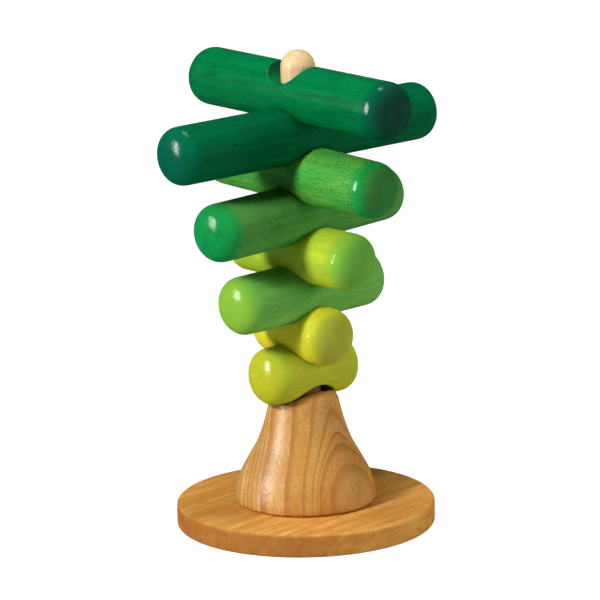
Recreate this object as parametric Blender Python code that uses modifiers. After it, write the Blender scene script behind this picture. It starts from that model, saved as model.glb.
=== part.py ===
"""Stacking tree toy in wood: a turned trunk on a round base, a centre peg and eight branches.

Metres, +Z up. The origin is at the centre of the underside of the base, on the axis of the
peg. The branches are dowels with a cross groove above and below, and lift off the peg one by
one. Branches 1, 3, 5 and 7, counted from the trunk, lie along X, and 2, 4, 6 and 8 along Y.
"""
import math

import bmesh
import bpy
from mathutils import Matrix

# Base disc
base_diameter = 0.120
base_thickness = 0.0108
base_edge_round = 0.0014
peg_socket_depth = 0.007

# Trunk, turned like a bell
trunk_height = 0.0534
trunk_foot_radius = 0.0326
trunk_neck_radius = 0.0153
trunk_foot_round = 0.0016
trunk_crest_round = 0.0022
cradle_depth = 0.0053

# Centre peg
peg_diameter = 0.016
peg_length = 0.2198
peg_foot_chamfer = 0.001

# Branches
branch_diameter = 0.027
branch_end_round = 0.0095
waist_thickness = 0.0097
branch_1_length = 0.0535
branch_2_length = 0.0515
branch_3_length = 0.0905
branch_4_length = 0.080
branch_5_length = 0.122
branch_6_length = 0.116
branch_7_length = 0.154
branch_8_length = 0.132

# Clearances
seat_gap = 0.0003
glue_gap = 0.0003
bore_play = 0.0006
groove_ease = 0.001

# How far a cutter runs past what it cuts, and how near points are welded
overrun = 0.002
weld_distance = 0.00001

# Smoothness, in counts
base_sides = 72
trunk_sides = 48
peg_sides = 32
branch_sides = 32
cutter_sides = 48
rim_steps = 2
end_steps = 4
trunk_rings = 12

# Half section of the trunk: share of its height, share of the flare from neck to foot radius
trunk_flare_shares = (
    (0.00, 1.000),
    (0.06, 1.000),
    (0.14, 0.950),
    (0.26, 0.838),
    (0.39, 0.625),
    (0.53, 0.390),
    (0.68, 0.220),
    (0.80, 0.115),
    (0.90, 0.045),
    (1.00, 0.000),
)

# Degrees that each branch, from the trunk up, is turned on the peg within its play
branch_turns = (-2.0, -0.4, 2.7, 4.5, 4.9, 1.0, -1.1, 2.0)

# What follows from the sizes above
base_radius = base_diameter / 2
peg_radius = peg_diameter / 2
branch_radius = branch_diameter / 2
groove_radius = branch_radius + groove_ease
groove_offset = waist_thickness / 2 + groove_radius
groove_half_width = math.sqrt(groove_radius ** 2 - (groove_offset - branch_radius) ** 2)
bore_radius = peg_radius + bore_play
trunk_foot = base_thickness + seat_gap
trunk_crest = trunk_foot + trunk_height
cradle_floor = trunk_crest - cradle_depth
first_branch_height = cradle_floor + seat_gap + branch_radius
branch_pitch = branch_radius + seat_gap + waist_thickness / 2
peg_foot = base_thickness - peg_socket_depth + seat_gap
peg_top = peg_foot + peg_length

# Name, length and stain of each branch, from the trunk up
branches = (
    ("branch_1", branch_1_length, (0.55, 0.58, 0.05)),
    ("branch_2", branch_2_length, (0.66, 0.63, 0.02)),
    ("branch_3", branch_3_length, (0.13, 0.36, 0.06)),
    ("branch_4", branch_4_length, (0.36, 0.56, 0.04)),
    ("branch_5", branch_5_length, (0.05, 0.26, 0.06)),
    ("branch_6", branch_6_length, (0.10, 0.38, 0.07)),
    ("branch_7", branch_7_length, (0.00, 0.17, 0.06)),
    ("branch_8", branch_8_length, (0.00, 0.22, 0.07)),
)


def clear_scene():
    """Remove what a new file holds."""
    for thing in list(bpy.data.objects):
        bpy.data.objects.remove(thing, do_unlink=True)


def new_collection(name):
    collection = bpy.data.collections.new(name)
    bpy.context.scene.collection.children.link(collection)
    return collection


def wood_material(name, colour, roughness):
    """A lacquered wood in one colour, linear RGB."""
    material = bpy.data.materials.new(name)
    material.use_nodes = True
    shader = material.node_tree.nodes["Principled BSDF"]
    shader.inputs["Base Color"].default_value = (*colour, 1.0)
    shader.inputs["Roughness"].default_value = roughness
    shader.inputs["Metallic"].default_value = 0.0
    return material


def arc(centre_across, centre_up, radius, start, end, steps):
    """Points of an arc in a half section, from one angle to another, in degrees above level."""
    points = []
    for step in range(steps + 1):
        angle = math.radians(start + (end - start) * step / steps)
        across = centre_across + radius * math.cos(angle)
        up = centre_up + radius * math.sin(angle)
        points.append((across, up))
    return points


def turned(name, profile, sides):
    """A solid of revolution about Z. The profile runs down its outer side from axis to axis."""
    mesh = bpy.data.meshes.new(name)
    form = bmesh.new()
    verts = [form.verts.new((across, 0.0, up)) for across, up in profile]
    for upper, lower in zip(verts, verts[1:]):
        form.edges.new((upper, lower))
    form.to_mesh(mesh)
    form.free()
    piece = bpy.data.objects.new(name, mesh)
    toy.objects.link(piece)
    screw = piece.modifiers.new("Turning", "SCREW")
    screw.axis = "Z"
    screw.steps = sides
    screw.render_steps = sides
    screw.use_merge_vertices = True
    screw.merge_threshold = weld_distance
    return piece


def cylinder_cutter(name, radius, length, axis):
    """A round cutter about the world origin, along X, Y or Z."""
    mesh = bpy.data.meshes.new(name)
    form = bmesh.new()
    bmesh.ops.create_cone(
        form, cap_ends=True, segments=cutter_sides, radius1=radius, radius2=radius, depth=length
    )
    if axis == "X":
        form.transform(Matrix.Rotation(math.radians(90), 4, "Y"))
    if axis == "Y":
        form.transform(Matrix.Rotation(math.radians(90), 4, "X"))
    form.to_mesh(mesh)
    form.free()
    cutter = bpy.data.objects.new(name, mesh)
    cutter.hide_render = True
    cutter.display_type = "WIRE"
    cutters.objects.link(cutter)
    return cutter


def cut(piece, cutter):
    """Take a cutter's shape out of a piece."""
    boolean = piece.modifiers.new(cutter.name, "BOOLEAN")
    boolean.operation = "DIFFERENCE"
    boolean.solver = "EXACT"
    boolean.object = cutter


def finished_mesh(piece):
    """Swap a piece's mesh for the one that its modifiers make."""
    bpy.context.view_layer.update()
    depsgraph = bpy.context.evaluated_depsgraph_get()
    made = bpy.data.meshes.new_from_object(piece.evaluated_get(depsgraph))
    piece.modifiers.clear()
    rough = piece.data
    piece.data = made
    made.name = piece.name
    bpy.data.meshes.remove(rough)


def smooth(piece):
    piece.data.shade_smooth()
    piece.data.set_sharp_from_angle(angle=math.radians(35))


def make_base_disc():
    """A flat disc with softly rounded rims and a blind socket for the peg."""
    rim = base_radius - base_edge_round
    profile = [(0.0, base_thickness)]
    profile += arc(rim, base_thickness - base_edge_round, base_edge_round, 90, 0, rim_steps)
    profile += arc(rim, base_edge_round, base_edge_round, 0, -90, rim_steps)
    profile += [(0.0, 0.0)]
    disc = turned("base_disc", profile, base_sides)
    socket_length = peg_socket_depth + overrun
    socket = cylinder_cutter("Peg socket", peg_radius + glue_gap, socket_length, "Z")
    socket.location.z = base_thickness - peg_socket_depth + socket_length / 2
    cut(disc, socket)
    finished_mesh(disc)
    return disc


def flare_radius(share):
    """The trunk's radius at a share of its height, a smooth curve through its flare shares."""
    table = trunk_flare_shares
    step = 0
    while step < len(table) - 2 and share > table[step + 1][0]:
        step += 1
    low, high = table[step], table[step + 1]
    before = table[max(step - 1, 0)]
    after = table[min(step + 2, len(table) - 1)]
    span = high[0] - low[0]
    part = (share - low[0]) / span
    slope_low = (high[1] - before[1]) / (high[0] - before[0]) * span
    slope_high = (after[1] - low[1]) / (after[0] - low[0]) * span
    square, cube = part ** 2, part ** 3
    flare = (2 * cube - 3 * square + 1) * low[1] + (cube - 2 * square + part) * slope_low
    flare += (3 * square - 2 * cube) * high[1] + (cube - square) * slope_high
    return trunk_neck_radius + (trunk_foot_radius - trunk_neck_radius) * flare


def make_trunk():
    """A bell with a bore for the peg, and a cradle across its top for the lowest branch."""
    crest = trunk_crest - trunk_crest_round
    foot = trunk_foot + trunk_foot_round
    profile = [(0.0, trunk_crest)]
    shoulder = flare_radius(1.0) - trunk_crest_round
    profile += arc(shoulder, crest, trunk_crest_round, 90, 10, rim_steps)
    for ring in range(1, trunk_rings):
        height = crest + (foot - crest) * ring / trunk_rings
        profile.append((flare_radius((height - trunk_foot) / trunk_height), height))
    sole = trunk_foot_radius - trunk_foot_round
    profile += arc(sole, foot, trunk_foot_round, 0, -90, rim_steps)
    profile += [(0.0, trunk_foot)]
    trunk = turned("trunk", profile, trunk_sides)
    bore_length = trunk_height + 2 * overrun
    bore = cylinder_cutter("Trunk bore", peg_radius + glue_gap, bore_length, "Z")
    bore.location.z = trunk_foot + trunk_height / 2
    cut(trunk, bore)
    cradle_length = 2 * (trunk_foot_radius + overrun)
    cradle = cylinder_cutter("Trunk cradle", groove_radius, cradle_length, "X")
    cradle.location.z = cradle_floor + groove_radius
    cut(trunk, cradle)
    finished_mesh(trunk)
    return trunk


def make_centre_peg():
    """A dowel with a domed top and a chamfered foot, glued into trunk and base."""
    profile = arc(0.0, peg_top - peg_radius, peg_radius, 90, 0, end_steps)
    profile[0] = (0.0, peg_top)
    profile += [
        (peg_radius, peg_foot + peg_foot_chamfer),
        (peg_radius - peg_foot_chamfer, peg_foot),
        (0.0, peg_foot),
    ]
    peg = turned("centre_peg", profile, peg_sides)
    finished_mesh(peg)
    return peg


def branch_cutters():
    """Two cross grooves and the hole for the peg, shared by all the branches."""
    groove_length = 2 * (branch_radius + overrun)
    upper = cylinder_cutter("Upper groove", groove_radius, groove_length, "Y")
    upper.location.z = groove_offset
    lower = cylinder_cutter("Lower groove", groove_radius, groove_length, "Y")
    lower.location.z = -groove_offset
    hole = cylinder_cutter("Branch hole", bore_radius, branch_diameter, "Z")
    return upper, lower, hole


def make_branch(name, length, shared_cutters):
    """A dowel with rounded ends, notched and drilled at its middle. Its origin is there too."""
    end_face = branch_radius - branch_end_round
    shoulder = length / 2 - branch_end_round
    beside_groove = min(groove_half_width + overrun, shoulder)
    profile = [(0.0, length / 2)]
    profile += arc(end_face, shoulder, branch_end_round, 90, 0, end_steps)
    profile += [(branch_radius, beside_groove), (branch_radius, -beside_groove)]
    profile += arc(end_face, -shoulder, branch_end_round, 0, -90, end_steps)
    profile += [(0.0, -length / 2)]
    branch = turned(name, profile, branch_sides)
    finished_mesh(branch)
    branch.data.transform(Matrix.Rotation(math.radians(90), 4, "Y"))
    for cutter in shared_cutters:
        cut(branch, cutter)
    finished_mesh(branch)
    return branch


def make_branches():
    """The eight branches, each across the one below, on the peg."""
    shared_cutters = branch_cutters()
    made = []
    for level, (name, length, stain) in enumerate(branches):
        branch = make_branch(name, length, shared_cutters)
        crossing = 90 * (level % 2)
        branch.rotation_euler.z = math.radians(crossing + branch_turns[level])
        branch.location.z = first_branch_height + level * branch_pitch
        branch.data.materials.clear()
        branch.data.materials.append(wood_material(name + " stain", stain, 0.35))
        made.append(branch)
    return made


clear_scene()
toy = new_collection("Stacking tree toy")
cutters = new_collection("Cutters")
base_disc = make_base_disc()
trunk = make_trunk()
centre_peg = make_centre_peg()
branch_pieces = make_branches()
base_disc.data.materials.append(wood_material("Base wood", (0.56, 0.26, 0.08), 0.35))
trunk.data.materials.append(wood_material("Trunk wood", (0.56, 0.26, 0.08), 0.35))
centre_peg.data.materials.append(wood_material("Peg wood", (0.90, 0.68, 0.37), 0.4))
for piece in [base_disc, trunk, centre_peg] + branch_pieces:
    smooth(piece)
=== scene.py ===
"""Looks of a wooden stacking tree toy: turned wood with its grain, green stains and satin lacquer.

Metres, +Z up. The origin is at the centre of the underside of the base, on the axis of the peg.
Each piece of wood is a finer mesh in the place of the plain solid that it stands for.
"""
import math

import bpy
import numpy as np
from mathutils import Matrix, Quaternion, Vector


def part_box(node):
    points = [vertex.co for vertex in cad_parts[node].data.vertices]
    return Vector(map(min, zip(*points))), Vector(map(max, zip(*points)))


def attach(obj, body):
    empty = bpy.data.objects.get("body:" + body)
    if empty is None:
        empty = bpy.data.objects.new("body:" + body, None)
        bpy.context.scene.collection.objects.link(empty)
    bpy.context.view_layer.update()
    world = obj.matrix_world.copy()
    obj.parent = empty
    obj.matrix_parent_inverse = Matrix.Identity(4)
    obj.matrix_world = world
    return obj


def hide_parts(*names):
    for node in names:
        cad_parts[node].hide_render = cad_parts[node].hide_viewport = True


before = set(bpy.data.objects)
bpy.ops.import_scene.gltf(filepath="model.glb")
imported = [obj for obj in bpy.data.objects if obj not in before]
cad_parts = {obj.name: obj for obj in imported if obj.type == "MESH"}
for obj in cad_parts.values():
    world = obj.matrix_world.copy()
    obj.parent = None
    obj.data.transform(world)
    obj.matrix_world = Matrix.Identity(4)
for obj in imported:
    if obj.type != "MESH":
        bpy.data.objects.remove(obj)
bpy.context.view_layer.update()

# Camera: a long lens, its place round the toy and its height in degrees
toy_turn = 40.51
camera_elevation = 14.27
camera_roll = -1.05
camera_distance = 2.434
camera_reach = 20.0
aim_side = -0.001
aim_height = 0.1061
lens_length = 316.7
sensor_width = 36.0

# Base disc and peg
base_edge_round = 0.0014
peg_socket_depth = 0.007
peg_foot_chamfer = 0.001
glue_gap = 0.0003

# Trunk. Its crest is rounded down to an angle above level, where the neck's own curve takes over,
# and its cradle is cut along rays from a hub at a share of its height
trunk_neck_radius = 0.0153
trunk_foot_round = 0.0016
trunk_crest_round = 0.0046
crest_end_angle = 10
cradle_depth = 0.0053
cradle_ease = 0.0008
hub_share = 0.55
trunk_flare_shares = (
    (0.00, 1.000),
    (0.06, 1.000),
    (0.14, 0.950),
    (0.26, 0.838),
    (0.39, 0.625),
    (0.53, 0.390),
    (0.68, 0.220),
    (0.80, 0.115),
    (0.90, 0.045),
    (1.00, 0.000),
)

# Branches. An end's fullness is 2 for a quarter circle, and more is squarer
waist_thickness = 0.0097
snug_ease = 0.00002
seat_ease = 0.00028
cradle_play = 0.001
bore_play = 0.0006
end_round = 0.0095
end_fullness = 2.5
rim_ease = 0.0001
beside_groove = 0.0018
overrun = 0.002

# Fineness of the meshes, in counts
base_sides = 256
trunk_sides = 192
peg_sides = 96
branch_sides = 224
bore_sides = 96
edge_rings = 8
end_rings = 18
groove_rings = 112
shank_rings = 4
groove_steps = 4
flare_rings = 40
crest_rings = 44

# An edge that turns by more degrees than this is shaded sharp
sharp_angle = 40

# Least rise of a ray towards a groove, so that a level one isn't divided by nothing
least_rise = 1e-6

# The floor reaches this far each way, and its own glow is what its lit paper tops up to white
floor_reach = 6.0
floor_glow = 0.95

# Lamps: level 1 shows a colour as it is written on a surface that faces the lamp. Each one's
# place is in degrees right of the camera and above level, then come its width and height, its
# level or brightness, and whether it is only seen in the lacquer
fill_level = 0.025
lamp_distance = 1.3
lamps = (
    ("Key", -50.0, 31.0, 0.18, 0.22, 0.86, False),
    ("Right fill", 84.0, 12.0, 0.9, 0.9, 0.52, False),
    ("Overhead fill", 0.0, 84.0, 0.3, 0.3, 0.37, False),
    ("Left gloss", -71.5, 17.0, 0.40, 0.65, 240.0, True),
    ("Overhead gloss", -170.0, 80.0, 0.35, 0.35, 90.0, True),
)


def box_size(node):
    """The lowest corner, the highest corner and the size of a node's box at rest."""
    low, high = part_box(node)
    low, high = Vector(low), Vector(high)
    return low, high, high - low


def eased_least(first, second, ease):
    """The lesser of two distances, eased where they meet so that the edge there is rounded."""
    near = np.maximum(ease - np.abs(first - second), 0.0) / ease
    return np.minimum(first, second) - near ** 2 * ease / 4


def arc(centre_across, centre_up, radius, start, end, steps):
    """Points of an arc in a half section, from one angle to another, in degrees above level."""
    angles = np.radians(np.linspace(start, end, steps + 1))
    across = centre_across + radius * np.cos(angles)
    up = centre_up + radius * np.sin(angles)
    return list(zip(across, up))


def skin(name, rings, first_tip, last_tip):
    """A closed mesh over rings of points, with one point at each end."""
    count, sides = rings.shape[:2]
    points = np.vstack([rings.reshape(-1, 3), [first_tip], [last_tip]])
    here = np.arange(sides)
    beside = (here + 1) % sides
    faces = []
    for ring in range(count - 1):
        start = ring * sides
        corners = (start + here, start + sides + here, start + sides + beside, start + beside)
        faces += np.stack(corners, axis=1).tolist()
    first, last, end = count * sides, count * sides + 1, (count - 1) * sides
    faces += [(first, a, b) for a, b in zip(here.tolist(), beside.tolist())]
    faces += [(last, end + b, end + a) for a, b in zip(here.tolist(), beside.tolist())]
    mesh = bpy.data.meshes.new(name)
    mesh.from_pydata(points.tolist(), [], faces)
    mesh.update()
    piece = bpy.data.objects.new(name, mesh)
    bpy.context.scene.collection.objects.link(piece)
    return piece


def turned(name, profile, sides):
    """A solid of revolution about Z. The profile runs down its outer side from axis to axis."""
    angles = np.linspace(0.0, 2 * math.pi, sides, endpoint=False)
    rings = []
    for across, up in profile[1:-1]:
        ring = np.stack(
            [across * np.cos(angles), across * np.sin(angles), np.full(sides, up)], axis=1
        )
        rings.append(ring)
    return skin(name, np.array(rings), (0.0, 0.0, profile[0][1]), (0.0, 0.0, profile[-1][1]))


def drill(piece, radius, bottom, top):
    """Cut a round hole along Z through the middle of a piece, and smooth its faces."""
    angles = np.linspace(0.0, 2 * math.pi, bore_sides, endpoint=False)
    rim = np.stack([radius * np.cos(angles), radius * np.sin(angles)], axis=1)
    ends = [np.column_stack([rim, np.full(bore_sides, height)]) for height in (top, bottom)]
    bit = skin("bit", np.array(ends), (0.0, 0.0, top), (0.0, 0.0, bottom))
    hole = piece.modifiers.new("Hole", "BOOLEAN")
    hole.operation = "DIFFERENCE"
    hole.solver = "EXACT"
    hole.object = bit
    bpy.context.view_layer.update()
    depsgraph = bpy.context.evaluated_depsgraph_get()
    drilled = bpy.data.meshes.new_from_object(piece.evaluated_get(depsgraph))
    piece.modifiers.clear()
    piece.data = drilled
    bpy.data.objects.remove(bit, do_unlink=True)
    smooth(piece)


def smooth(piece):
    """Shade the round faces of a piece smooth and keep its hard edges."""
    piece.data.shade_smooth()
    piece.data.set_sharp_from_angle(angle=math.radians(sharp_angle))


def finish_piece(piece, node, body, material):
    """Put a finished piece of wood in a node's place, on its body."""
    piece.data.materials.clear()
    piece.data.materials.append(material)
    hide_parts(node)
    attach(piece, body)


def make_base_disc():
    """The round board under the toy, with eased rims and a blind socket for the peg."""
    low, high, size = box_size("base_disc")
    radius, thickness = size.x / 2, high.z
    rim = radius - base_edge_round
    profile = [(0.0, thickness), (rim / 2, thickness)]
    profile += arc(rim, thickness - base_edge_round, base_edge_round, 90, 0, edge_rings)
    profile += arc(rim, base_edge_round, base_edge_round, 0, -90, edge_rings)
    profile += [(rim / 2, 0.0), (0.0, 0.0)]
    disc = turned("base_disc_board", profile, base_sides)
    peg_size = box_size("centre_peg")[2]
    drill(disc, peg_size.x / 2 + glue_gap, thickness - peg_socket_depth, thickness + overrun)
    return disc


def flare_radius(share, foot_radius):
    """The trunk's radius at a share of its height, a smooth curve through its flare shares."""
    table = trunk_flare_shares
    step = 0
    while step < len(table) - 2 and share > table[step + 1][0]:
        step += 1
    low, high = table[step], table[step + 1]
    before = table[max(step - 1, 0)]
    after = table[min(step + 2, len(table) - 1)]
    span = high[0] - low[0]
    part = (share - low[0]) / span
    slope_low = (high[1] - before[1]) / (high[0] - before[0]) * span
    slope_high = (after[1] - low[1]) / (after[0] - low[0]) * span
    square, cube = part ** 2, part ** 3
    flare = (2 * cube - 3 * square + 1) * low[1] + (cube - 2 * square + part) * slope_low
    flare += (3 * square - 2 * cube) * high[1] + (cube - square) * slope_high
    return trunk_neck_radius + (foot_radius - trunk_neck_radius) * flare


def trunk_profile(low, high, foot_radius):
    """Half section of the trunk, from the middle of its top down to the middle of its sole."""
    height = high.z - low.z
    crest = high.z - trunk_crest_round
    shoulder = trunk_neck_radius - trunk_crest_round
    profile = [(across, high.z) for across in np.linspace(0.0, shoulder, crest_rings)[:-1]]
    profile += arc(shoulder, crest, trunk_crest_round, 90, crest_end_angle, edge_rings)
    foot = low.z + trunk_foot_round
    hub = low.z + hub_share * height
    levels = list(np.linspace(crest, hub, crest_rings)[1:])
    levels += list(np.linspace(hub, foot, flare_rings)[1:-1])
    for level in levels:
        profile.append((flare_radius((level - low.z) / height, foot_radius), level))
    profile += arc(foot_radius - trunk_foot_round, foot, trunk_foot_round, 0, -90, edge_rings)
    profile += [(0.0, low.z)]
    return profile


def make_trunk():
    """The bell under the branches, with a cradle across its top where the lowest branch nests.

    Above a hub on its axis, each point lies on a ray from the hub, as far out as the turned
    shape or the cradle allows, whichever is nearer.
    """
    low, high, size = box_size("trunk")
    foot_radius = size.x / 2
    groove_radius = box_size("branch_1")[2].z / 2 + cradle_play
    hub = low.z + hub_share * (high.z - low.z)
    cradle_centre = high.z - cradle_depth + groove_radius - hub
    profile = trunk_profile(low, high, foot_radius)
    angles = np.linspace(0.0, 2 * math.pi, trunk_sides, endpoint=False)
    rings = []
    for across, up in profile[1:-1]:
        reach = math.hypot(across, up - hub)
        rise = (up - hub) / reach
        out = across / reach
        reaches = np.full(trunk_sides, reach)
        if rise > 0:
            sideways = (out * np.sin(angles)) ** 2 + rise ** 2
            inside = (rise * cradle_centre) ** 2
            inside = inside - sideways * (cradle_centre ** 2 - groove_radius ** 2)
            to_cradle = (rise * cradle_centre - np.sqrt(np.maximum(inside, 0.0))) / sideways
            to_cradle = np.where(inside > 0, to_cradle, 2 * reach)
            reaches = eased_least(reaches, to_cradle, cradle_ease)
        spokes = [out * np.cos(angles) * reaches, out * np.sin(angles) * reaches]
        rings.append(np.stack(spokes + [hub + rise * reaches], axis=1))
    cradle_floor = high.z - cradle_depth
    tips = (0.0, 0.0, cradle_floor), (0.0, 0.0, low.z)
    trunk = skin("trunk_bell", np.array(rings), *tips)
    peg_size = box_size("centre_peg")[2]
    drill(trunk, peg_size.x / 2 + glue_gap, low.z - overrun, high.z + overrun)
    return trunk


def make_centre_peg():
    """The dowel on which the branches are stacked, with a domed top."""
    low, high, size = box_size("centre_peg")
    radius = size.x / 2
    profile = arc(0.0, high.z - radius, radius, 90, 0, end_rings)
    profile += [
        (radius, low.z + peg_foot_chamfer),
        (radius - peg_foot_chamfer, low.z),
        (0.0, low.z),
    ]
    peg = turned("centre_peg_dowel", profile, peg_sides)
    smooth(peg)
    return peg


def branch_rows(length, radius):
    """Where the rings of a branch lie along it, and the radius of its dowel at each."""
    shoulder = length / 2 - end_round
    angles = np.linspace(0.0, math.pi / 2, end_rings + 1)[:-1]
    end_rows = shoulder + end_round * np.sin(angles) ** (2 / end_fullness)
    end_radii = radius * np.cos(angles) ** (2 / end_fullness)
    edge = min(radius + beside_groove, shoulder)
    middle = np.linspace(-edge, edge, groove_rings)
    shank = np.linspace(edge, shoulder, shank_rings + 1)[1:-1]
    body = np.concatenate([-shank[::-1], middle, shank])
    rows = np.concatenate([-end_rows[::-1], body, end_rows])
    radii = np.concatenate([end_radii[::-1], np.full(len(body), radius), end_radii])
    return rows, radii


def cross_groove(skew):
    """Radius, floor height, shift and skew of the groove in which the next branch nests."""
    return branch_radius + snug_ease, groove_floor, 0.0, math.radians(skew)


def groove_reach(groove, row, across, up):
    """How far out along rays from the dowel's axis a groove's surface lies, at a place along it."""
    groove_radius, floor, shift, skew = groove
    rise = np.maximum(np.abs(up), least_rise)
    reach = np.full(len(across), branch_radius)
    for step in range(groove_steps):
        beside = (row - shift) * math.cos(skew) - reach * across * math.sin(skew)
        depth = np.sqrt(np.maximum(groove_radius ** 2 - beside ** 2, 0.0))
        reach = np.minimum((floor + groove_radius - depth) / rise, 2 * branch_radius)
    return reach


def make_branch(name, length, turn, thinner, upper, lower):
    """A dowel along X with full round ends, a cross groove above and below and a hole for the peg."""
    low, high, size = box_size(name)
    radius = size.z / 2
    rows, radii = branch_rows(length, radius)
    angles = np.linspace(0.0, 2 * math.pi, branch_sides, endpoint=False)
    across, up = np.sin(angles), np.cos(angles)
    rings = []
    for row, reach in zip(rows, radii):
        beyond = max(abs(row) - radius, 0.0) / (length / 2 - radius)
        reach *= 1 - beyond * thinner[0 if row < 0 else 1]
        above, below = (groove_reach(groove, row, across, up) for groove in (upper, lower))
        to_groove = np.where(up > 0, above, below)
        reaches = eased_least(np.full(branch_sides, reach), to_groove, rim_ease)
        rings.append(np.stack([np.full(branch_sides, row), across * reaches, up * reaches], axis=1))
    tips = (-length / 2, 0.0, 0.0), (length / 2, 0.0, 0.0)
    branch = skin(name + "_dowel", np.array(rings), *tips)
    drill(branch, peg_radius + bore_play, -radius, radius)
    branch.location = (low + high) / 2
    branch.rotation_euler.z = math.radians(turn)
    return branch


def linear(code):
    """An sRGB hex colour as linear RGBA."""
    channels = [int(code[place:place + 2], 16) / 255 for place in (1, 3, 5)]
    values = [c / 12.92 if c <= 0.04045 else ((c + 0.055) / 1.055) ** 2.4 for c in channels]
    return (*values, 1.0)


def add(tree, kind, settings=None, inputs=None):
    """Add a node with its settings. An input is a value, or a node or socket to link."""
    made = tree.nodes.new("ShaderNode" + kind)
    for name, value in (settings or {}).items():
        setattr(made, name, value)
    for name, value in (inputs or {}).items():
        if isinstance(value, bpy.types.Node):
            value = value.outputs[0]
        if isinstance(value, bpy.types.NodeSocket):
            tree.links.new(value, made.inputs[name])
        else:
            made.inputs[name].default_value = value
    return made


def new_material(name):
    """A material with an empty node tree and its output node."""
    material = bpy.data.materials.new(name)
    material.use_nodes = True
    tree = material.node_tree
    tree.nodes.clear()
    return material, tree, add(tree, "OutputMaterial")


# Grain of rubberwood, and how unevenly stain and lacquer lie on it, in millimetres: along the
# grain, across it, then detail and roughness
grain_scales = {
    "wander": (130.0, 26.0, 1.0, 0.4),
    "deep": (55.0, 3.5, 3.0, 0.55),
    "fibre": (9.0, 0.45, 3.0, 0.6),
    "crowds": (22.0, 4.0, 1.0, 0.5),
    "patch": (12.0, 5.0, 3.0, 0.6),
    "mottle": (8.0, 5.0, 3.0, 0.55),
    "film": (1.6, 1.3, 1.0, 0.5),
}
millimetres = 1000.0

# How far along the grain each piece is cut from the one before, so that no two look alike
cut_spacing = 37.0

# Relief of the fibres, and of the lacquer's film over them, in metres
fibre_relief = 0.0001
film_relief = 0.0002

# How much of the end tone the cut grain in the grooves takes: partly the stain soaking deeper there, partly
# painted shade in the grooves where the branches cross
groove_soak_and_shade = 0.85

# The real index of both is about 1.5: the lacquer's is higher here, under less coat, so that the
# rims flare less where a lamp stands behind the toy
wood_index = 1.5
coat_index = 2.5

# Pores of rubberwood are about 0.2 mm wide: drawn twice as wide so that they show
pore_spacing_along = 2.6
pore_spacing_across = 0.7
pore_share = 0.36

# Growth rings, as distances from the pith in millimetres. The trunk's are as uneven as its figure
board_rings = (28.0, 36.0, 44.0, 49.0, 57.0, 62.0, 71.0, 79.0, 84.0, 92.0, 101.0)
trunk_rings = (
    70.0, 75.0, 81.3, 85.2, 86.4, 88.4, 92.6, 101.0, 113.5, 116.0, 118.5, 121.5, 124.0, 128.0,
    133.0, 138.0, 144.0,
)
dowel_rings = [18.0 + 3.5 * year for year in range(13)]

# Where each tone begins and is full in its field, in the order in which they are laid
tone_reach = {
    "heart": (0.55, 0.25),
    "patch": (0.40, 0.62),
    "deep": (0.38, 0.64),
    "band": (0.0, 1.0),
    "line": (0.50, 0.98),
    "fibre": (0.46, 0.66),
    # On the branches the shoulder and end tones are partly stain soaking deeper into the cut grain and
    # partly painted light and shade of the ends
    "shoulder": (0.05, 0.60),
    "end": (0.30, 0.85),
    "mottle": (0.44, 0.66),
    "pore": (pore_share, pore_share / 2),
}


def place_in_board(tree, place, grain):
    """Millimetres in the board that the piece is cut from: X along the grain, the pith on its axis."""
    across, above = grain["pith"]
    return add(tree, "Mapping", {}, {
        "Vector": place.outputs["Object"],
        "Scale": (millimetres, millimetres, millimetres),
        "Rotation": grain["turn"],
        "Location": (grain["seed"] * cut_spacing, -across, -above),
    })


def uneven_fields(tree, board):
    """The noises that grain, stain and lacquer follow, each drawn out along the grain."""
    fields = {}
    for part, (along, width, detail, roughness) in grain_scales.items():
        stretched = add(tree, "Mapping", {}, {
            "Vector": board, "Scale": (1 / along, 1 / width, 1 / width),
        })
        fields[part] = add(tree, "TexNoise", {}, {
            "Vector": stretched, "Scale": 1.0, "Detail": detail, "Roughness": roughness,
        })
    return fields


def growth_from_pith(tree, board, wander, grain):
    """Share of the growth rings passed on the way out from the pith, each ring at its distance."""
    centred = add(tree, "VectorMath", {"operation": "SUBTRACT"}, {
        0: wander.outputs["Color"], 1: (0.5, 0.5, 0.5),
    })
    moved = add(tree, "VectorMath", {"operation": "MULTIPLY_ADD"}, {
        0: centred, 1: (0.0, grain["wander"], grain["wander"]), 2: board,
    })
    section = add(tree, "VectorMath", {"operation": "MULTIPLY"}, {0: moved, 1: (0.0, 1.0, 1.0)})
    from_pith = add(tree, "VectorMath", {"operation": "LENGTH"}, {0: section})
    rings = grain["rings"]
    grown = add(tree, "MapRange", {}, {
        "Value": from_pith.outputs["Value"], "From Min": rings[0], "From Max": rings[-1],
    })
    growth = add(tree, "FloatCurve", {}, {"Value": grown})
    points = growth.mapping.curves[0].points
    for count, ring in enumerate(rings[1:-1], start=1):
        points.new((ring - rings[0]) / (rings[-1] - rings[0]), count / (len(rings) - 1))
    for point in points:
        point.handle_type = "VECTOR"
    growth.mapping.update()
    return growth


def end_grain(tree, place, grain):
    """How squarely the surface is cut across the grain, and how near an end of the piece it is."""
    facing = add(tree, "VectorRotate", {"rotation_type": "EULER_XYZ"}, {
        "Vector": place.outputs["Normal"], "Rotation": grain["turn"],
    })
    along_grain = add(tree, "SeparateXYZ", {}, {0: facing})
    end_on = add(tree, "Math", {"operation": "ABSOLUTE"}, {0: along_grain})
    along = add(tree, "VectorMath", {"operation": "DOT_PRODUCT"}, {
        0: place.outputs["Object"], 1: grain["length_axis"],
    })
    start, full = grain["ends"]
    near_end = add(tree, "MapRange", {}, {
        "Value": along.outputs["Value"], "From Min": start, "From Max": full,
    })
    far_end = add(tree, "MapRange", {}, {
        "Value": along.outputs["Value"], "From Min": -start, "From Max": -full,
        "To Max": grain["far_end"],
    })
    return end_on, add(tree, "Math", {"operation": "MAXIMUM"}, {0: near_end, 1: far_end})


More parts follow.
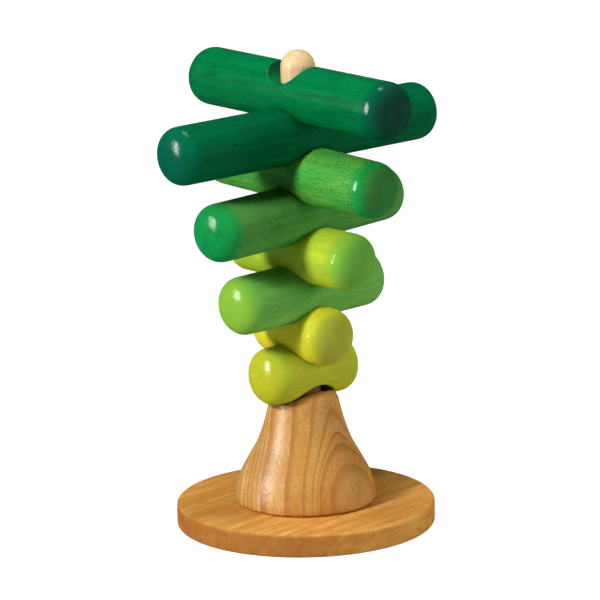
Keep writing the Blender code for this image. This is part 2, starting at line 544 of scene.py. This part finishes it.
def pore_ticks(tree, board, crowds, end, finish):
    """Distance from the nearest pore, past reach where the wood has none.

    Pores come in crowds, and the finish seals some of those in the end grain.
    """
    spaced = add(tree, "Mapping", {}, {
        "Vector": board,
        "Scale": (1 / pore_spacing_along, 1 / pore_spacing_across, 1 / pore_spacing_across),
    })
    pores = add(tree, "TexVoronoi", {}, {"Vector": spaced, "Scale": 1.0})
    chance = add(tree, "SeparateColor", {}, {0: pores.outputs["Color"]})
    crowd = add(tree, "Math", {"operation": "MULTIPLY"}, {0: crowds, 1: finish["crowding"]})
    wanted = add(tree, "Math", {"operation": "MULTIPLY_ADD"}, {
        0: end, 1: -finish["sealed"], 2: crowd,
    })
    missing = add(tree, "Math", {"operation": "GREATER_THAN"}, {0: chance, 1: wanted})
    return add(tree, "Math", {"operation": "ADD"}, {0: pores.outputs["Distance"], 1: missing})


def lacquered_wood(name, tones, finish, grain):
    """Wood under a satin lacquer, its tones laid over each other by masks of what a sawn board shows."""
    material, tree, output = new_material(name)
    place = add(tree, "TexCoord")
    board = place_in_board(tree, place, grain)
    fields = uneven_fields(tree, board)

    growth = growth_from_pith(tree, board, fields["wander"], grain)
    years = add(tree, "Math", {"operation": "MULTIPLY"}, {0: growth, 1: len(grain["rings"]) - 1.0})
    year = add(tree, "Math", {"operation": "FLOOR"}, {0: years})
    fields["heart"] = growth
    fields["line"] = add(tree, "Math", {"operation": "FRACT"}, {0: years})
    fields["band"] = add(tree, "TexWhiteNoise", {"noise_dimensions": "1D"}, {"W": year})

    # The shoulder and end tones of a branch are partly deeper stain in its cut ends and partly painted
    # light and shade of those ends
    end_on, near_end = end_grain(tree, place, grain)
    # In the grooves the end tone is partly painted shade where the branches cross
    soaked_and_shaded = add(tree, "Math", {"operation": "MAXIMUM"}, {0: near_end, 1: groove_soak_and_shade})
    fields["shoulder"] = near_end
    fields["end"] = add(tree, "Math", {"operation": "MULTIPLY"}, {0: end_on, 1: soaked_and_shaded})
    fields["mottle"] = add(tree, "Math", {"operation": "MULTIPLY"}, {0: fields["mottle"], 1: near_end})
    fields["pore"] = pore_ticks(tree, board, fields["crowds"], fields["end"], finish)

    colour = linear(tones["light"])
    shown = [part for part in tone_reach if part in finish]
    for part in shown:
        start, full = tone_reach[part]
        share = add(tree, "MapRange", {"interpolation_type": "SMOOTHSTEP"}, {
            "Value": fields[part], "From Min": start, "From Max": full, "To Max": finish[part],
        })
        colour = add(tree, "MixRGB", {}, {"Fac": share, "Color1": colour, "Color2": linear(tones[part])})

    # The pores, which are laid last, are dents in the fibres
    relief = add(tree, "Math", {"operation": "MULTIPLY_ADD"}, {
        0: share, 1: -1.0, 2: fields["fibre"],
    })
    bump = add(tree, "Bump", {}, {
        "Height": relief, "Strength": finish["relief"], "Distance": fibre_relief,
    })
    film = add(tree, "Bump", {}, {
        "Height": fields["film"], "Strength": finish["film"], "Distance": film_relief,
    })
    shader = add(tree, "BsdfPrincipled", {}, {
        "Base Color": colour,
        "Roughness": finish["roughness"],
        "Normal": bump,
        "IOR": wood_index,
        "Specular IOR Level": 0.0,
        "Coat Weight": finish["coat"],
        "Coat Roughness": finish["coat_roughness"],
        "Coat IOR": coat_index,
        "Coat Normal": film,
    })
    tree.links.new(shader.outputs[0], output.inputs["Surface"])
    return material


# How strongly each tone shows, how crowded the pores are and how far those of the end grain are
# sealed, or opened where that is below 0, then the relief, the sheen and the lacquer. Each branch
# has its own crowding
stained = {
    "patch": 0.5, "deep": 0.7, "band": 0.12, "line": 0.15, "fibre": 0.5, "shoulder": 0.9, "end": 0.9,
    "mottle": 0.6, "pore": 0.8, "sealed": 1.0,
    "relief": 0.25, "film": 0.5, "roughness": 0.6, "coat": 0.011, "coat_roughness": 0.18,
}
clear = {
    "patch": 0.4, "deep": 0.55, "band": 0.5, "line": 0.6, "fibre": 0.5, "end": 0.5,
    "mottle": 0.3, "pore": 0.42, "crowding": 1.2, "sealed": 0.3,
    "relief": 0.5, "film": 0.9, "roughness": 0.6, "coat": 0.015, "coat_roughness": 0.33,
}
tone_names = ("light", "deep", "line", "shoulder", "end", "mottle", "pore")

# Ends set so wide, in metres, that the whole piece takes the tones of an end
everywhere = (-1.0, 0.0)

# How far in from its end a branch takes its end tones, in end rounds, and how much of that the other end
# shows. Those tones are partly the stain soaking deeper into the cut grain and partly painted light and
# shade. On an end turned from the key lamp there is a painted band of shade where it turns from the light,
# then darker, greener painted shade. On an end turned to the lamp, its lit look is painted.
end_tone_reach = 1.5
far_end_tone_share = 0.35

# Name, length, turn, how much thinner its ends are, share of pores, and its stain's tones, of which the
# shoulder and end tones are partly painted light and shade
branches = (
    ("branch_1", 0.0535, -2.0, (0.0, 0.0), 0.12,
     ("#d2d63c", "#bcc83a", "#a8ba38", "#bccb36", "#c4c92e", "#d4cc36", "#8a9430")),
    ("branch_2", 0.0515, 89.6, (0.0, 0.0), 0.08,
     ("#fff23a", "#f6e638", "#dcd63e", "#ced236", "#abb43e", "#c2c43e", "#97942e")),
    ("branch_3", 0.0905, 2.7, (0.0, 0.0), 0.15,
     ("#86c656", "#70b858", "#5aa252", "#7cbe4a", "#92c63e", "#7cba48", "#3a7c3a")),
    ("branch_4", 0.080, 94.5, (0.0, 0.0), 0.06,
     ("#c6da34", "#b2ce38", "#9cc040", "#86c442", "#6db248", "#86b846", "#5f9636")),
    ("branch_5", 0.122, 4.9, (0.0, 0.045), 0.45,
     ("#62a648", "#4f9844", "#448640", "#149a4a", "#10964a", "#0e7a40", "#22602e")),
    ("branch_6", 0.116, 91.0, (0.05, 0.05), 2.8,
     ("#6ab442", "#40a644", "#309a42", "#0a9a48", "#427a38", "#248c42", "#165a2c")),
    ("branch_7", 0.154, -1.1, (0.0, 0.0), 0.35,
     ("#007244", "#00643a", "#005232", "#006a44", "#005e46", "#005640", "#00422c")),
    ("branch_8", 0.132, 92.0, (0.0, 0.0), 0.15,
     ("#007a42", "#005c32", "#008a4a", "#00583e", "#183e32", "#005a3c", "#004c2c")),
)

peg_low, peg_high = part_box("centre_peg")
peg_radius = (peg_high[0] - peg_low[0]) / 2
branch_low, branch_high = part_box("branch_1")
branch_radius = (branch_high[2] - branch_low[2]) / 2

# Degrees by which each crossing, from the trunk up, is off square
right_angle = 90
turns = [0.0] + [branch[2] for branch in branches]
skews = [
    (upper - lower + right_angle / 2) % right_angle - right_angle / 2
    for lower, upper in zip(turns, turns[1:])
]
skews.append(0.0)

# The groove floors' height above a branch's axis, a hair outside the waist so that none cut in
groove_floor = waist_thickness / 2 + seat_ease

# The shallower notch at the very top: radius, floor above the axis, shift along the branch, skew
top_notch = (0.012, 0.0057, 0.0017, 0.0)


def base_board_wood():
    """Rubberwood sawn flat, sanded and lacquered: warm amber, long soft streaks and a low sheen."""
    amber = {
        "light": "#f6bd68", "patch": "#ecac50", "deep": "#d9903a", "band": "#d68c3a", "line": "#b46c2c",
        "fibre": "#cf8a3a", "end": "#b06830", "mottle": "#cc8438", "pore": "#8e4e20",
    }
    finish = {
        **clear, "coat": 0.0045, "line": 0.25, "band": 0.4, "deep": 0.75, "fibre": 0.4, "end": 0.7,
        "pore": 0.45, "crowding": 0.5, "sealed": -0.35,
    }
    grain = dict(
        turn=(0.0, 0.0, math.radians(-8)), pith=(22.0, 40.0), rings=board_rings, wander=6.0,
        seed=1, length_axis=(1.0, 0.0, 0.0), ends=everywhere, far_end=0.0,
    )
    return lacquered_wood("amber rubberwood board, sanded and satin lacquered", amber, finish, grain)


def trunk_bell_wood():
    """Rubberwood turned on a lathe and lacquered: a paler honey tone with a broad, soft sheen.

    The bell cuts through the growth rings, which show as stripes and, round one side, as arches.
    """
    honey = {
        "light": "#f6ce86", "patch": "#e0a652", "deep": "#deaa56", "band": "#cc8e42", "line": "#a46028",
        "fibre": "#ba7a36", "end": "#b37a42", "mottle": "#ce8a40", "pore": "#84431c", "heart": "#c47e30",
    }
    grain = dict(
        turn=(math.radians(4.9), math.radians(90), 0.0), pith=(-108.1, -18.0), rings=trunk_rings,
        wander=3.0, seed=2, length_axis=(0.0, 0.0, 1.0), ends=everywhere, far_end=0.0,
    )
    finish = {**clear, "heart": 0.55}
    return lacquered_wood("honey rubberwood, turned and satin lacquered", honey, finish, grain)


def centre_peg_wood():
    """Pale rubberwood with hardly any figure, with painted shade darkening its foot, where it shows in the
    shadowed gap under the lowest branch.
    """
    # The shoulder tone is painted shade: brown on the peg up to 70 mm above the floor, fading out by 78 mm,
    # where the peg lies in shadow between the trunk's crest and the lowest branch.
    cream = {
        "light": "#f4d9a6", "patch": "#e9c48c", "deep": "#e3b87c", "band": "#e8c78f", "line": "#d9b07a",
        "fibre": "#e3c08a", "shoulder": "#7c4c30", "end": "#e6c690", "mottle": "#e0b884", "pore": "#c09460",
    }
    finish = {**clear, "crowding": 0.3, "line": 0.25, "fibre": 0.25, "pore": 0.4, "shoulder": 0.85}
    grain = dict(
        turn=(0.0, math.radians(90), 0.0), pith=(30.0, 10.0), rings=dowel_rings, wander=3.0,
        seed=3, length_axis=(0.0, 0.0, 1.0), ends=(0.078, 0.070), far_end=0.0,
    )
    return lacquered_wood("pale rubberwood dowel, sanded and glued in at its foot", cream, finish, grain)


def branch_stain_wood(name, length, crowding, codes, seed):
    """Rubberwood dyed green, so that the grain shows through as darker streaks and ticks.

    The stain soaks deeper into the cut ends, and their shoulder and end tones also carry painted light and
    shade: a painted band of shade where an end turns from the key lamp, and the lit and shaded look of each
    end. The lacquer over it gives small bright highlights.
    """
    tones = dict(zip(tone_names, codes))
    tones.update(patch=tones["deep"], band=tones["line"], fibre=tones["line"])
    grain = dict(
        turn=(0.0, 0.0, 0.0), pith=(12.0, 38.0), rings=dowel_rings, wander=3.0,
        seed=seed, length_axis=(-1.0, 0.0, 0.0),
        ends=(length / 2 - end_tone_reach * end_round, length / 2), far_end=far_end_tone_share,
    )
    title = name.replace("_", " ") + " rubberwood dowel, green stain under satin lacquer"
    return lacquered_wood(title, tones, {**stained, "crowding": crowding}, grain)


def make_stand():
    """The base, the trunk and the peg, each in its own wood."""
    finish_piece(make_base_disc(), "base_disc", "stand", base_board_wood())
    finish_piece(make_trunk(), "trunk", "stand", trunk_bell_wood())
    finish_piece(make_centre_peg(), "centre_peg", "stand", centre_peg_wood())


def make_branches():
    """The eight branches from the bottom up, each crossing the one below and stained its own green."""
    for level, (name, length, turn, thinner, crowding, codes) in enumerate(branches):
        wood = branch_stain_wood(name, length, crowding, codes, seed=level + 4)
        upper = cross_groove(-skews[level + 1])
        lower = cross_groove(skews[level])
        if name == "branch_1":
            lower = (branch_radius + cradle_play, groove_floor, 0.0, 0.0)
        if name == "branch_8":
            upper = top_notch
        branch = make_branch(name, length, turn, thinner, upper, lower)
        finish_piece(branch, name, name, wood)


def make_camera():
    """A long lens at the photograph's angle, aimed at the middle of the toy."""
    elevation = math.radians(camera_elevation)
    to_toy_turn = Matrix.Rotation(-math.radians(toy_turn), 3, "Z")
    back = Vector((0.0, -math.cos(elevation), math.sin(elevation)))
    back.rotate(to_toy_turn)
    aim = Vector((aim_side, 0.0, aim_height))
    aim.rotate(to_toy_turn)
    camera = bpy.data.objects.new("Camera", bpy.data.cameras.new("Camera"))
    camera.data.lens = lens_length
    camera.data.sensor_width = sensor_width
    camera.data.clip_end = camera_reach
    camera.location = aim + back * camera_distance
    roll = Quaternion((0.0, 0.0, 1.0), math.radians(camera_roll))
    camera.rotation_mode = "QUATERNION"
    camera.rotation_quaternion = (-back).to_track_quat("-Z", "Y") @ roll
    bpy.context.scene.collection.objects.link(camera)
    bpy.context.scene.camera = camera


def seen_directly(tree):
    """1 for rays from the camera, a reflection or a clear material, which see a white background."""
    path = add(tree, "LightPath")
    reflected = add(tree, "Math", {"operation": "MAXIMUM"}, {
        0: path.outputs["Is Camera Ray"], 1: path.outputs["Is Glossy Ray"],
    })
    return add(tree, "Math", {"operation": "MAXIMUM"}, {
        0: reflected, 1: path.outputs["Is Transmission Ray"],
    })


def make_world():
    """White where it is seen, and an even, softer light on the toy."""
    world = bpy.data.worlds.new("Studio")
    bpy.context.scene.world = world
    world.use_nodes = True
    tree = world.node_tree
    tree.nodes.clear()
    seen = seen_directly(tree)
    level = add(tree, "MapRange", {}, {"Value": seen, "To Min": fill_level, "To Max": 1.0})
    background = add(tree, "Background", {}, {"Color": linear("#ffffff"), "Strength": level})
    output = add(tree, "OutputWorld")
    tree.links.new(background.outputs[0], output.inputs["Surface"])


def make_floor():
    """A wide floor of matt paper with no sheen, white to the camera but for the toy's soft shadow."""
    edge = floor_reach
    mesh = bpy.data.meshes.new("floor")
    corners = [(-edge, -edge, 0.0), (edge, -edge, 0.0), (edge, edge, 0.0), (-edge, edge, 0.0)]
    mesh.from_pydata(corners, [], [(0, 1, 2, 3)])
    floor = bpy.data.objects.new("floor", mesh)
    bpy.context.scene.collection.objects.link(floor)
    material, tree, output = new_material("matt white studio paper")
    paper = add(tree, "BsdfDiffuse", {}, {"Color": linear("#bcbcbc")})
    glow = add(tree, "Emission", {}, {"Color": linear("#ffffff"), "Strength": floor_glow})
    shade = add(tree, "BsdfDiffuse", {}, {"Color": linear("#9f9f9f")})
    lit = add(tree, "AddShader", {}, {0: glow, 1: shade})
    surface = add(tree, "MixShader", {}, {0: seen_directly(tree), 1: paper, 2: lit})
    tree.links.new(surface.outputs[0], output.inputs["Surface"])
    mesh.materials.append(material)


def make_lamp(name, azimuth, elevation, width, height, level, seen):
    """A soft box aimed at the toy. Azimuth is in degrees right of the camera.

    A lamp either lights the toy at a level or is only seen in its lacquer, at a brightness.
    """
    lamp = bpy.data.lights.new(name, "AREA")
    lamp.shape = "RECTANGLE"
    lamp.size = width
    lamp.size_y = height
    lamp.energy = level * math.pi ** 2 * lamp_distance ** 2
    if seen:
        lamp.energy = level * math.pi * width * height
    holder = bpy.data.objects.new(name, lamp)
    rise = math.radians(elevation)
    around = math.radians(azimuth - toy_turn)
    back = Vector((math.sin(around) * math.cos(rise), -math.cos(around) * math.cos(rise), math.sin(rise)))
    holder.location = Vector((0.0, 0.0, aim_height)) + back * lamp_distance
    holder.rotation_mode = "QUATERNION"
    holder.rotation_quaternion = (-back).to_track_quat("-Z", "Y")
    holder.visible_diffuse = not seen
    holder.visible_glossy = seen
    bpy.context.scene.collection.objects.link(holder)


make_camera()
make_world()
make_floor()
for lamp in lamps:
    make_lamp(*lamp)
make_stand()
make_branches()

bpy.context.scene.view_settings.view_transform = "Standard"
